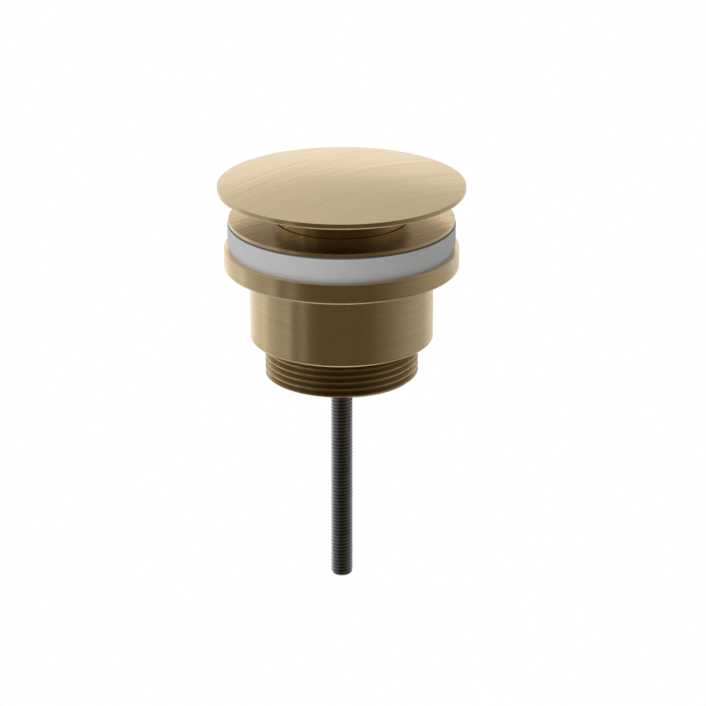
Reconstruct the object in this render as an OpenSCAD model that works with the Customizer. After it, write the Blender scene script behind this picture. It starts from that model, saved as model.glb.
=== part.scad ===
// Pop-up basin waste with a push plug, a clamped tail and a long tie screw.
// Origin: centre of the seat plane, where the flange's seal rests on the basin. +Z is up.
// The plug is drawn open and the tail is drawn screwed fully home, with no basin between.

/* [Cap and plug] */
// Overhang of the cap past the flange
cap_overhang = 3; // [1:0.25:6]
// Height of the cap's upright rim
cap_rim_h = 1.6; // [0.8:0.1:3]
// Rise of the dome above the rim
cap_dome_h = 3.6; // [2.4:0.1:6]
// Thickness of the cap's shell
cap_wall = 1.6; // [1.2:0.1:2.2]
// Diameter of the threaded boss under the cap
cap_boss_d = 13; // [11:0.5:16]
// How far the boss reaches below the cap's rim
cap_boss_drop = 1.1; // [0.4:0.1:2]
// Gap left between the cap and the flange at full press
cap_rest_gap = 0.4; // [0.3:0.05:1]
// Thickness of the washer between the cap and the seal carrier
cap_washer_t = 0.6; // [0.4:0.1:1.2]
// How far the stem's end stays short of the cap's shell
stem_short = 0.8; // [0.5:0.1:1.5]
// Depth of the seal carrier's skirt below its web
carrier_skirt = 6.1; // [5.5:0.1:7]
// Thickness of the seal carrier's web
carrier_web = 2; // [1.5:0.1:3]
// Wall of the seal carrier's skirt
carrier_wall = 2.5; // [2.2:0.1:4]
// Depth of the seal's groove in the carrier
plug_seal_seat = 1.6; // [1:0.1:1.8]
// Height of the plug's lip seal
plug_seal_h = 2; // [1.4:0.1:2.6]
// Thread diameter of the plunger's stem
stem_d = 8; // [6:0.5:9]
// Thread pitch of the plunger's stem
stem_pitch = 1.25; // [1:0.25:1.5]

/* [Click cartridge] */
// Full press of the plug, past the latch
press = 7.4; // [6:0.1:9]
// Rise from full press back to the latch
latch_rise = 1.2; // [0.8:0.1:1.6]
// Diameter of the plunger
plunger_d = 10; // [9.5:0.25:12]
// Bore in the plunger for the spring
spring_bore_d = 5.7; // [5:0.1:6]
// Depth of the cam track in the plunger
track_depth = 1.2; // [0.9:0.1:1.3]
// Diameter of the index ring's lugs
lug_d = 1.6; // [1.2:0.1:1.8]
// Wall of the index ring
ring_wall = 1.25; // [1:0.05:2]
// Height of the index ring
ring_h = 2.7; // [2.2:0.1:4]
// Length of the guide bush
bush_h = 2.8; // [2:0.1:5]
// Thickness of the retaining ring
clip_t = 0.8; // [0.6:0.1:1.2]
// Wall of the cartridge's sleeve
sleeve_wall = 1.3; // [1.1:0.1:2]
// Wire of the return spring
spring_wire = 0.7; // [0.5:0.05:0.8]
// Turns of the return spring
spring_turns = 12; // [8:1:13]

/* [Flange] */
// Bore of the flange's throat
throat_d = 37.2; // [34:0.1:42]
// Rounding of the throat's top edge
throat_round = 0.3; // [0.2:0.1:2.4]
// Height of the flange's top above the seat
flange_t = 1.5; // [1.3:0.05:2.5]
// Wall of the spigot that passes through the basin
spigot_wall = 2.7; // [2.3:0.1:4]
// Diameter of the spider's hub
hub_d = 19; // [17:0.5:22]
// Height of the spider's hub
hub_h = 4.5; // [4:0.1:7]
// Width of each spider arm
arm_w = 3.2; // [2:0.1:5]
// Height of the spider's arms
arm_h = 3.8; // [3:0.1:4]
// Number of spider arms, and of overflow ports
arms = 4; // [3:1:5]
// Width of each overflow port
port_w = 9; // [5:0.5:11]
// Height of each overflow port
port_h = 7; // [4:0.5:8]
// Thickness of the flat seal under the flange
flange_seal_t = 0.6; // [0.5:0.05:0.9]
// Height that the flat seal stands proud of the flange
flange_seal_proud = 0.4; // [0.2:0.05:0.45]
// Set-back of the flat seal's edge from the flange's rim
flange_seal_inset = 0.1; // [0.05:0.05:0.5]
// Width of the flange's rim outside the flat seal's recess
flange_lip = 1.1; // [0.8:0.1:3]
// Cord of the spigot's sealing ring
spigot_ring_cord = 1.6; // [1:0.1:2]

/* [Tie screw] */
// Thread diameter of the tie screw
rod_d = 6; // [5:0.5:7]
// Thread pitch of the tie screw
rod_pitch = 1; // [0.8:0.05:1.25]
// Length of screw below the tail
rod_reach = 60.4; // [55:0.1:80]
// Depth of the screw in its head
rod_engage = 4.4; // [3.5:0.1:4.8]
// Width across the flats of the screw's head
head_af = 15; // [14:0.5:17]
// Height of the head's hexagon
head_hex_h = 3.6; // [3:0.1:5]
// Height of the head's spigot in the sleeve
head_spigot_h = 2.6; // [2:0.1:4]
// Thickness of the plain washers
washer_t = 0.8; // [0.5:0.1:1.5]
// Diameter of the plain washers
washer_d = 16; // [14:0.5:17]
// Width across the flats of the lock nut
nut_af = 10; // [9:0.5:13]
// Height of the lock nut
nut_h = 5; // [4:0.1:6]

/* [Tail] */
// Height of the basin gasket
gasket_h = 6.8; // [4:0.1:10]
// Rounding of the gasket's edges
gasket_round = 0.4; // [0.2:0.05:0.8]
// Set-back of the flange from the gasket's edge
gasket_proud = 0.25; // [0.1:0.05:1]
// Ledge of the tail's flange outside the gasket
tail_ledge = 1; // [0.6:0.1:3]
// Overhang of the tail's flange past the body
tail_overhang = 7; // [5:0.25:10]
// Height of the tail's flange
tail_flange_h = 5.4; // [3:0.1:8]
// Wall of the tail's body
tail_wall = 3.3; // [2.5:0.1:5]
// Height of the tail's floor, where the body steps in to the thread
tail_floor = 2.9; // [2.4:0.1:5]
// Diameter over the crests of the tail's thread
tail_thread_d = 41.91; // [41:0.01:43]
// Pitch of the tail's thread
tail_thread_pitch = 1.85; // [1.6:0.05:2.35]
// Crest width of the tail's thread
tail_thread_crest = 0.35; // [0.2:0.05:0.5]
// Length of the plain neck above the tail's thread
tail_neck = 2; // [1.5:0.1:3]
// Wall between the bridge's seat and the thread's root
bridge_seat_wall = 2.3; // [1.8:0.1:3]
// Ledge that the bridge pulls up against
bridge_ledge = 1; // [0.6:0.1:2]
// Height of the bridge
bridge_h = 5; // [4:0.1:7]
// Wall of the bridge's outer ring
bridge_ring = 2; // [1.5:0.1:3]
// Diameter of the bridge's threaded hub
bridge_hub_d = 12; // [10:0.5:16]
// Distance from the bridge up to the lock nut
bridge_nut_gap = 1.45; // [0.6:0.05:3]
// Distance that the bridge is set in from the tail's end
bridge_inset = 1.8; // [1:0.1:4]
// Width of each bridge arm
bridge_arm_w = 3.6; // [2.5:0.1:5]
// Number of bridge arms
bridge_arms = 3; // [3:1:4]

/* [Fits] */
// Gap around pieces that are pressed or screwed together
press_gap = 0.02; // [0.01:0.01:0.04]
// Running gap around a shaft
run_gap = 0.05; // [0.02:0.01:0.08]
// Gap around the index ring and its lugs
ring_gap = 0.15; // [0.1:0.01:0.2]
// Gap between the plug's seal and the throat
plug_seal_gap = 0.2; // [0.15:0.05:0.3]
// Water gap between the seal carrier and the throat
water_gap = 0.4; // [0.3:0.05:2]
// Gap between the spigot and the tail's bore
spigot_gap = 0.4; // [0.3:0.05:0.8]
// Gap kept below a piece that stops before the next one
stop_gap = 0.4; // [0.3:0.05:0.8]
// Edge break on turned edges
edge = 0.35; // [0.1:0.05:0.5]

/* [Hidden] */
$fn = 96;
eps = 0.01;
FLANK = 30;
COIL_SIDES = 8;
COIL_STEPS = 16;
LUGS = 3;
ROUND_STEP = 10;
TRACK_STEP = 360 / LUGS / 4;

// Diameters, worked outwards from the throat
spigot_d = throat_d + 2 * spigot_wall;
ring_seat_d = spigot_d - 2 * spigot_ring_cord + spigot_gap;
tail_bore_d = spigot_d + 2 * spigot_gap;
tail_d = tail_bore_d + 2 * tail_wall;
tail_flange_d = tail_d + 2 * tail_overhang;
gasket_d = tail_flange_d - 2 * tail_ledge;
flange_d = gasket_d - 2 * gasket_proud;
flange_seal_d = flange_d - 2 * flange_lip;
cap_d = flange_d + 2 * cap_overhang;
carrier_d = throat_d - 2 * water_gap;
plug_seal_d = throat_d - 2 * plug_seal_gap;
plug_seal_id = carrier_d - 2 * plug_seal_seat;

// Diameters of the cartridge, worked outwards from the plunger
ring_id = plunger_d + 2 * ring_gap;
ring_d = ring_id + 2 * ring_wall;
recess_d = ring_d + 2 * ring_gap;
sleeve_d = recess_d + 2 * sleeve_wall;
head_spigot_d = recess_d - 1;
clip_groove_d = recess_d + sleeve_wall / 2;

// Heights of the plug and the cartridge, worked down from the cap
cap_low = flange_t + press + cap_rest_gap;
cap_top = cap_low + cap_rim_h + cap_dome_h;
web_top = cap_low - cap_boss_drop - cap_washer_t;
web_low = web_top - carrier_web;
carrier_low = web_low - carrier_skirt;
plug_seal_low = web_low - plug_seal_h * 0.6;
sleeve_top = web_low - press - stop_gap;
clip_top = sleeve_top - 0.5;
bush_top = clip_top - clip_t;
ring_top = bush_top - bush_h - ring_gap;
ring_low = ring_top - ring_h;
recess_low = ring_low - ring_gap;
lug_z = (ring_top + ring_low) / 2;
plunger_low = lug_z - lug_d / 2 - 1.4;
head_top = plunger_low - press - stop_gap;
hex_top = head_top - head_spigot_h;
head_low = hex_top - head_hex_h;
hub_top = head_low - washer_t;
spigot_low = hub_top - hub_h;
spring_top = lug_z + press + lug_d / 2;
stem_top = cap_top - cap_wall - stem_short;

// Heights of the tail, worked down from the spigot
tail_top = -gasket_h;
tail_flange_low = tail_top - tail_flange_h;
tail_bore_low = spigot_low - stop_gap;
tail_low = tail_bore_low - tail_floor;
nut_low = spigot_low - run_gap - washer_t - nut_h;
bridge_top = nut_low - bridge_nut_gap;
bridge_low = bridge_top - bridge_h;
tail_end = bridge_low - bridge_inset;
rod_low = tail_end - rod_reach;
rod_top = head_low + rod_engage;

// Tail's thread and bores
function thread_depth(pitch, crest) = (pitch - crest - crest / 2) / 2 / tan(FLANK);
tail_root_d = tail_thread_d - 2 * thread_depth(tail_thread_pitch, tail_thread_crest);
bridge_seat_d = tail_root_d - 2 * bridge_seat_wall;
tail_outlet_d = bridge_seat_d - 2 * bridge_ledge;

BRASS = "#b9a478";
DARK_BRASS = "#8d7748";
STEEL = "#8f9193";
RUBBER = "#262626";
SILICONE = "#e6e6e6";
ACETAL = "#f0efe9";

// Round bar or bore between two heights
module bar(d, low, high) {
    translate([0, 0, low]) cylinder(d = d, h = high - low);
}

// Plain ring between two heights
module tube(d, bore, low, high) {
    difference() {
        bar(d, low, high);
        bar(bore, low - eps, high + eps);
    }
}

// Round bar with its two rims broken
module turned(d, low, high, low_edge, high_edge) {
    r = d / 2;
    rotate_extrude()
        polygon([
            [0, low], [r - low_edge, low], [r, low + low_edge],
            [r, high - high_edge], [r - high_edge, high], [0, high]
        ]);
}

// Hexagon bar, its corners turned off at both ends
module hexagon(af, low, high) {
    corner_d = af / cos(30);
    intersection() {
        translate([0, 0, low]) cylinder(d = corner_d, h = high - low, $fn = 6);
        turned(corner_d, low, high, edge * 3, edge * 3);
    }
}

// Threaded bar: ridges of the given pitch, counted up from just above its low end
module threaded(d, pitch, crest, low, high) {
    r = d / 2;
    root = r - thread_depth(pitch, crest);
    flat = crest / 4;
    first = low + pitch * 0.75;
    count = floor((high - first - pitch * 0.25) / pitch);
    rotate_extrude()
        polygon([
            [0, low], [root - edge, low], [root, low + edge],
            for (i = [0 : count - 1])
                let (z = first + i * pitch)
                each [
                    [root, z - pitch / 2 + flat], [r, z - crest / 2],
                    [r, z + crest / 2], [root, z + pitch / 2 - flat]
                ],
            [root, high], [0, high]
        ]);
}

// Arms from inside a hub out to a radius
module spokes(count, width, hub, reach, low, high) {
    start = hub / 2 - width / 2;
    for (i = [0 : count - 1])
        rotate((i + 0.5) * 360 / count)
            translate([start, -width / 2, low])
                cube([reach - start, width, high - low]);
}

// Domed cover with a blind threaded boss
module dome_cap() {
    r = cap_d / 2;
    dome_r = (r * r + cap_dome_h * cap_dome_h) / (2 * cap_dome_h);
    color(BRASS) difference() {
        union() {
            difference() {
                intersection() {
                    translate([0, 0, cap_top - dome_r]) sphere(r = dome_r);
                    turned(cap_d, cap_low, cap_top + 1, edge, 0);
                }
                intersection() {
                    translate([0, 0, cap_top - dome_r]) sphere(r = dome_r - cap_wall);
                    bar(cap_d - 2 * cap_wall, cap_low - 1, cap_top);
                }
            }
            bar(cap_boss_d, web_top + cap_washer_t, cap_top - cap_wall);
        }
        bar(stem_d + 2 * press_gap, web_top - 1, stem_top + stop_gap);
    }
}

// Washer between the cap's boss and the carrier
module cap_washer() {
    color(ACETAL) tube(cap_boss_d, stem_d + 2 * press_gap, web_top, web_top + cap_washer_t);
}

// Cup under the cap that carries the plug's seal
module seal_carrier() {
    color(BRASS) difference() {
        turned(carrier_d, carrier_low, web_top, edge * 3, edge);
        bar(carrier_d - 2 * carrier_wall, carrier_low - 1, web_low);
        bar(stem_d + 2 * press_gap, web_low - 1, web_top + 1);
        tube(carrier_d + 1, plug_seal_id, plug_seal_low, plug_seal_low + plug_seal_h);
    }
}

// Lip seal in the carrier's groove
module plug_seal() {
    low = plug_seal_low + press_gap;
    high = plug_seal_low + plug_seal_h - press_gap;
    inner = plug_seal_id / 2 + press_gap;
    outer = plug_seal_d / 2;
    bevel = plug_seal_h / 3;
    color(RUBBER) rotate_extrude()
        polygon([
            [inner, low], [outer - bevel, low], [outer, low + bevel],
            [outer, high - bevel], [outer - bevel, high], [inner, high]
        ]);
}

// Round pocket of the cam track at one place of a lug
module track_pocket(turn, rise, extra) {
    inner = plunger_d / 2 - track_depth;
    rotate(turn)
        translate([inner, 0, lug_z + rise])
            rotate([0, 90, 0])
                cylinder(d = lug_d + 2 * ring_gap + extra, h = track_depth * 2, $fn = 24);
}

// One stretch of the cam track, between two places of a lug
module track_stretch(turn_a, rise_a, turn_b, rise_b, extra) {
    hull() {
        track_pocket(turn_a, rise_a, extra);
        track_pocket(turn_b, rise_b, extra);
    }
}

// Push rod with the spring's bore, the closed cam track and the cap's stem
module plunger() {
    latched = press - latch_rise;
    color(DARK_BRASS) difference() {
        union() {
            turned(plunger_d, plunger_low, web_low, edge, edge, $fn = 64);
            threaded(stem_d, stem_pitch, stem_pitch / 8, web_low - edge, stem_top, $fn = 64);
        }
        bar(spring_bore_d, plunger_low - 1, spring_top, $fn = 32);
        for (i = [0 : LUGS - 1])
            rotate(i * 360 / LUGS) {
                track_stretch(0, 0, TRACK_STEP, press, 0);
                track_stretch(TRACK_STEP, press, 2 * TRACK_STEP, latched, 0.05);
                track_stretch(2 * TRACK_STEP, latched, 3 * TRACK_STEP, press, 0.1);
                track_stretch(3 * TRACK_STEP, press, 4 * TRACK_STEP, 0, 0.15);
            }
    }
}

// Compression spring between the screw's head and the plunger's bore
module return_spring() {
    mean_r = (spring_bore_d - spring_wire) / 2 - ring_gap;
    low = head_top + spring_wire / 2 + press_gap;
    rise = spring_top - head_top - spring_wire - 2 * press_gap;
    steps = spring_turns * COIL_STEPS;
    points = [
        for (i = [0 : steps], k = [0 : COIL_SIDES - 1])
            let (
                turn = i * 360 / COIL_STEPS,
                side = k * 360 / COIL_SIDES,
                r = mean_r + spring_wire / 2 * cos(side)
            )
            [r * cos(turn), r * sin(turn), low + rise * i / steps + spring_wire / 2 * sin(side)]
    ];
    walls = [
        for (i = [0 : steps - 1], k = [0 : COIL_SIDES - 1])
            let (a = i * COIL_SIDES, b = a + COIL_SIDES, n = (k + 1) % COIL_SIDES)
            each [[a + k, b + n, a + n], [a + k, b + k, b + n]]
    ];
    ends = [
        [for (k = [0 : COIL_SIDES - 1]) k],
        [for (k = [COIL_SIDES - 1 : -1 : 0]) steps * COIL_SIDES + k]
    ];
    color(STEEL) polyhedron(points = points, faces = concat(walls, ends));
}

// Ring whose lugs ride in the plunger's track
module index_ring() {
    tip = plunger_d / 2 - track_depth + ring_gap;
    color(RUBBER) union() {
        tube(ring_d, ring_id, ring_low, ring_top);
        for (i = [0 : LUGS - 1])
            rotate(i * 360 / LUGS)
                translate([tip, 0, lug_z])
                    rotate([0, 90, 0])
                        cylinder(d = lug_d, h = (ring_id + ring_d) / 4 - tip);
    }
}

// Bush that guides the plunger and keeps the index ring down
module guide_bush() {
    color(DARK_BRASS)
        tube(recess_d - 2 * press_gap, plunger_d + 2 * run_gap, bush_top - bush_h, bush_top);
}

// Open spring ring that keeps the bush in the sleeve
module retaining_ring() {
    inner = plunger_d / 2 + 2 * ring_gap;
    outer = clip_groove_d / 2 - press_gap;
    color(STEEL) rotate(20) rotate_extrude(angle = 320)
        translate([inner, bush_top]) square([outer - inner, clip_t - press_gap]);
}

// Tube that holds the click parts, screwed onto the screw's head
module cartridge_sleeve() {
    flat_h = head_spigot_h + 1;
    color(DARK_BRASS) difference() {
        turned(sleeve_d, hex_top, sleeve_top, edge, edge);
        bar(head_spigot_d + 2 * press_gap, hex_top - 1, head_top);
        bar(plunger_d + 2 * run_gap, hex_top, sleeve_top + 1);
        bar(recess_d, recess_low, sleeve_top + 1);
        bar(clip_groove_d, bush_top, clip_top);
        for (side = [0, 180])
            rotate(side)
                translate([sleeve_d / 2 - sleeve_wall / 4, -sleeve_d / 2, hex_top + flat_h])
                    cube([sleeve_wall, sleeve_d, flat_h]);
    }
}

// Hexagon head of the tie screw, with the sleeve's spigot on top
module screw_head() {
    color(DARK_BRASS) difference() {
        union() {
            hexagon(head_af, head_low, hex_top);
            bar(head_spigot_d, hex_top - eps, head_top);
        }
        bar(rod_d + 2 * press_gap, head_low - 1, rod_top + press_gap);
    }
}

// Washer between the screw's head and the hub
module head_washer() {
    color(STEEL) tube(washer_d, rod_d + 4 * run_gap, hub_top, head_low);
}

// Long threaded rod that draws the tail up
module tie_rod() {
    color(STEEL) threaded(rod_d, rod_pitch, rod_pitch / 8, rod_low, rod_top);
}

// Washer under the hub
module hub_washer() {
    color(STEEL)
        tube(washer_d, rod_d + 4 * run_gap, spigot_low - run_gap - washer_t, spigot_low - run_gap);
}

// Nut that keeps the screw in the hub
module lock_nut() {
    color(STEEL) difference() {
        hexagon(nut_af, nut_low, nut_low + nut_h);
        bar(rod_d + 2 * press_gap, nut_low - 1, nut_low + nut_h + 1);
    }
}

// Spider in the spigot, with the screw's bore in its hub
module flange_spider() {
    difference() {
        union() {
            bar(hub_d, spigot_low, hub_top);
            spokes(arms, arm_w, hub_d, (throat_d + ring_seat_d) / 4, spigot_low, spigot_low + arm_h);
        }
        bar(rod_d + 4 * run_gap, spigot_low - 1, hub_top + 1);
    }
}

// Turned flange with a rounded throat, and the spigot below it
module flange_shell() {
    throat_r = throat_d / 2;
    spigot_r = spigot_d / 2;
    flange_r = flange_d / 2;
    recess_r = flange_seal_d / 2 + press_gap;
    recess_top = flange_seal_t + press_gap;
    groove_r = ring_seat_d / 2;
    groove_half = spigot_ring_cord / 2 + press_gap;
    groove_z = spigot_low + arm_h / 2;
    port_low = (spigot_low + arm_h + tail_flange_low) / 2 - port_h / 2;
    difference() {
        rotate_extrude()
            polygon([
                [throat_r, spigot_low], [spigot_r - edge, spigot_low], [spigot_r, spigot_low + edge],
                [spigot_r, groove_z - groove_half], [groove_r, groove_z - groove_half],
                [groove_r, groove_z + groove_half], [spigot_r, groove_z + groove_half],
                [spigot_r, recess_top], [recess_r, recess_top], [recess_r, flange_seal_proud],
                [flange_r - edge / 2, flange_seal_proud], [flange_r, flange_seal_proud + edge / 2],
                [flange_r, flange_t - edge / 2], [flange_r - edge / 2, flange_t],
                for (turn = [0 : ROUND_STEP : 90])
                    [
                        throat_r + throat_round * (1 - sin(turn)),
                        flange_t - throat_round * (1 - cos(turn))
                    ]
            ]);
        for (i = [0 : arms - 1])
            rotate(i * 360 / arms)
                translate([0, -port_w / 2, port_low])
                    cube([spigot_d, port_w, port_h]);
    }
}

// Upper flange: seat, throat, spigot and spider in one casting
module upper_flange() {
    color(BRASS) union() {
        flange_shell();
        flange_spider();
    }
}

// Flat seal: its foot lies under the flange's rim, and the rest fills the flange's recess
module flange_seal() {
    foot_d = flange_d - 2 * flange_seal_inset;
    bore = spigot_d + 4 * press_gap;
    color(RUBBER) union() {
        tube(flange_seal_d, bore, 0, flange_seal_t);
        tube(foot_d, bore, 0, flange_seal_proud - press_gap);
    }
}

// Sealing ring in the spigot's groove
module spigot_ring() {
    color(RUBBER) rotate_extrude()
        translate([spigot_d / 2 + spigot_gap / 2 - spigot_ring_cord / 2 - press_gap, spigot_low + arm_h / 2])
            circle(d = spigot_ring_cord - 2 * press_gap, $fn = 32);
}

// Thick gasket that seals the tail under the basin
module basin_gasket() {
    inner = tail_bore_d / 2 + spigot_gap;
    outer = gasket_d / 2;
    color(SILICONE) rotate_extrude() union() {
        translate([inner, tail_top]) square([outer - gasket_round - inner, gasket_h]);
        translate([inner, tail_top + gasket_round])
            square([outer - inner, gasket_h - 2 * gasket_round]);
        for (z = [tail_top + gasket_round, -gasket_round])
            translate([outer - gasket_round, z]) circle(r = gasket_round, $fn = 32);
    }
}

// Thread of the tail: ridges from the neck down, the last one cut by the tail's end
module tail_thread() {
    r = tail_thread_d / 2;
    root = tail_root_d / 2;
    pitch = tail_thread_pitch;
    flat = tail_thread_crest / 4;
    first = tail_low - tail_neck - pitch / 2;
    count = ceil((first - tail_end) / pitch);
    low = first - count * pitch;
    intersection() {
        rotate_extrude()
            polygon([
                [0, tail_low + eps], [root, tail_low + eps],
                for (i = [0 : count - 1])
                    let (z = first - i * pitch)
                    each [
                        [root, z + pitch / 2 - flat], [r, z + tail_thread_crest / 2],
                        [r, z - tail_thread_crest / 2], [root, z - pitch / 2 + flat]
                    ],
                [root, low], [0, low]
            ]);
        bar(tail_thread_d + 1, tail_end, tail_low + 1);
    }
}

// Tail: flange, body and threaded outlet
module tail_body() {
    color(BRASS) difference() {
        union() {
            turned(tail_flange_d, tail_flange_low, tail_top, edge, edge / 2);
            turned(tail_d, tail_low, tail_top - edge, edge, 0);
            tail_thread();
        }
        bar(tail_bore_d, tail_bore_low, tail_top + 1);
        translate([0, 0, tail_low])
            cylinder(d1 = tail_outlet_d, d2 = tail_bore_d, h = tail_floor + eps);
        bar(tail_outlet_d, tail_end - 1, tail_low + eps);
        bar(bridge_seat_d, tail_end - 1, bridge_top);
    }
}

// Bridge that the tie screw draws up against the ledge in the tail
module tail_bridge() {
    outer_d = bridge_seat_d - 2 * press_gap;
    color(DARK_BRASS) difference() {
        union() {
            tube(outer_d, outer_d - 2 * bridge_ring, bridge_low, bridge_top);
            bar(bridge_hub_d, bridge_low, bridge_top);
            spokes(
                bridge_arms, bridge_arm_w, bridge_hub_d, (outer_d - bridge_ring) / 2,
                bridge_low + edge, bridge_top - edge
            );
        }
        bar(rod_d + 2 * run_gap, bridge_low - 1, bridge_top + 1);
    }
}

dome_cap();
cap_washer();
seal_carrier();
plug_seal();
plunger();
return_spring();
index_ring();
guide_bush();
retaining_ring();
cartridge_sleeve();
upper_flange();
flange_seal();
spigot_ring();
screw_head();
head_washer();
tie_rod();
hub_washer();
lock_nut();
basin_gasket();
tail_body();
tail_bridge();
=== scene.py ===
import math

import bmesh
import bpy
from bpy.props import FloatProperty, FloatVectorProperty, IntProperty, PointerProperty
from mathutils import Matrix, Vector


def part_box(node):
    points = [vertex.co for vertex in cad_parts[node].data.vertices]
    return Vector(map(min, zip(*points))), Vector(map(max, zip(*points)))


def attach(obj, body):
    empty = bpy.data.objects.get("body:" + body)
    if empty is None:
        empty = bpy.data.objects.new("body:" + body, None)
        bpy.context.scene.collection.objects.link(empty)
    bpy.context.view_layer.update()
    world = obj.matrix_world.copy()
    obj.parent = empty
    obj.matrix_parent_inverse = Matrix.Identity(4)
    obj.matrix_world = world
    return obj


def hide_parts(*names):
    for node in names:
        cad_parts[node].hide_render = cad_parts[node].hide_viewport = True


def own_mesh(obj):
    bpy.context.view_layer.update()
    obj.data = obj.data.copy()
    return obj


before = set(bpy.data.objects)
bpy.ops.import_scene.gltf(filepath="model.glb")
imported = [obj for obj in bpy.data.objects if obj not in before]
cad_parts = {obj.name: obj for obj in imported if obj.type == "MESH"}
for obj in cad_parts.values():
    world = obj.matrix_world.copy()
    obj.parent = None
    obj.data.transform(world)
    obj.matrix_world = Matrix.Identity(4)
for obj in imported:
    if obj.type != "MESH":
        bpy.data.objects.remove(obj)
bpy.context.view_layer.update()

bl_info = {
    "name": "Basin Waste Finish",
    "version": (1, 0, 0),
    "blender": (4, 5, 0),
    "location": "3D View > Sidebar > Basin Waste",
    "description": "Turns, threads and finishes the pieces of a pop-up basin waste round its solids",
    "category": "Object",
}

MM = 0.001

# Fineness of the meshes: segments round the axis, points on a curve and steps in one pitch of a thread
TURNED_SEGMENTS = 256
RING_SEGMENTS = 128
HUB_SEGMENTS = 96
TENT_SEGMENTS = 64
ROD_SEGMENTS = 40
ARC_POINTS = 6
DOME_POINTS = 28
FOOT_POINTS = 8
TAIL_STEPS = 14
ROD_STEPS = 12
# Edges sharper than this stay crisp
SHARP_ANGLE = math.radians(34)
# Distance and angle within which points and faces are made one
WELD = 0.002 * MM
FLAT_ANGLE = math.radians(0.5)
# Distance from an arc to the support point beside it
SUPPORT = 0.04 * MM
# Share of a straight stretch that the rounding at one of its ends may take
CORNER_REACH = 0.48

# Segment at which the tail's thread starts, and the depth of its crest that keeps the brushed finish; below
# it the grooves take brass painted darker as their shade
THREAD_START = -46
CREST_BAND = 0.03 * MM
# Length of one tile of the grain map
GRAIN_TILE = 100 * MM

# Studio tent round the origin, in metres; its pale table and dark flags fade in from an edge to where
# they are full
TENT_R = 1.6
TENT_LOW = -1.1
TENT_HIGH = 0.62
CEILING_RISE = 1.0
TABLE_EDGE = 0.7
TABLE_FULL = 0.3
CEILING_FLAG_EDGE = 0.2
CEILING_FLAG_FULL = -0.5
WALL_FLAG_LOW = 0.0
WALL_FLAG_HIGH = 0.25
# The same across the wall's flag, as depth in a tent of radius 1
WALL_FLAG_EDGE = -0.5
WALL_FLAG_FULL = -0.9
# Paint of each panel of the tent's sides, and its start and end in degrees round from behind the camera
LEFT_PANELS = (
    ("drape", 24), ("hem", 39, 43), ("strip", 46, 54), ("gap", 57, 64), ("middle", 68, 73), ("side", 78, 86),
    ("middle", 97, 106), ("corner", 110, 113), ("far", 117, 127), ("corner", 138, 146), ("back", 151),
)
RIGHT_PANELS = (
    ("drape", 30), ("near", 66), ("side", 98), ("middle", 126), ("far", 138), ("corner", 166),
)
WHITE = (1, 1, 1, 1)
FLOOR_LIFT = 0.4
# Lamps and camera, in metres, with the sensor in millimetres
KEY_PLACE = (-1.1, -0.65, 0.8)
FILL_PLACE = (1.1, -0.7, 0.7)
LAMP_WIDTH = 0.9
SENSOR_WIDTH = 36
VIEW_END = 20


def linear(code):
    """Linear red, green and blue of an sRGB hex colour."""
    shares = [int(code[i:i + 2], 16) / 255 for i in (1, 3, 5)]
    return tuple(c / 12.92 if c <= 0.04045 else ((c + 0.055) / 1.055) ** 2.4 for c in shares)


def length(name, description, millimetres):
    """A size that a user can set, given here in millimetres."""
    return FloatProperty(
        name=name, description=description, default=millimetres * MM, precision=5, unit="LENGTH"
    )


def number(name, description, count):
    """A count that a user can set."""
    return IntProperty(name=name, description=description, default=count, min=1)


def angle(name, description, degrees):
    """An angle that a user can set, given here in degrees."""
    return FloatProperty(name=name, description=description, default=math.radians(degrees), unit="ROTATION")


def power(name, description, watts):
    """The power of a lamp, which a user can set."""
    return FloatProperty(name=name, description=description, default=watts, unit="POWER")


def colour(name, description, code):
    """A colour that a user can set."""
    return FloatVectorProperty(
        name=name, description=description, default=linear(code), subtype="COLOR", min=0, max=1
    )


def radius(node):
    """Radius of a turned solid, in millimetres."""
    return round(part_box(node)[1][0] / MM, 3)


def low(node):
    """Height of the underside of a solid, in millimetres."""
    return round(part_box(node)[0][2] / MM, 3)


def high(node):
    """Height of the top of a solid, in millimetres."""
    return round(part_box(node)[1][2] / MM, 3)


# The cup that carries the plug's seal, in millimetres
CARRIER_R = radius("seal_carrier")
CARRIER_WALL = 2.5
LIP_GROOVE = 1.6


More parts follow.
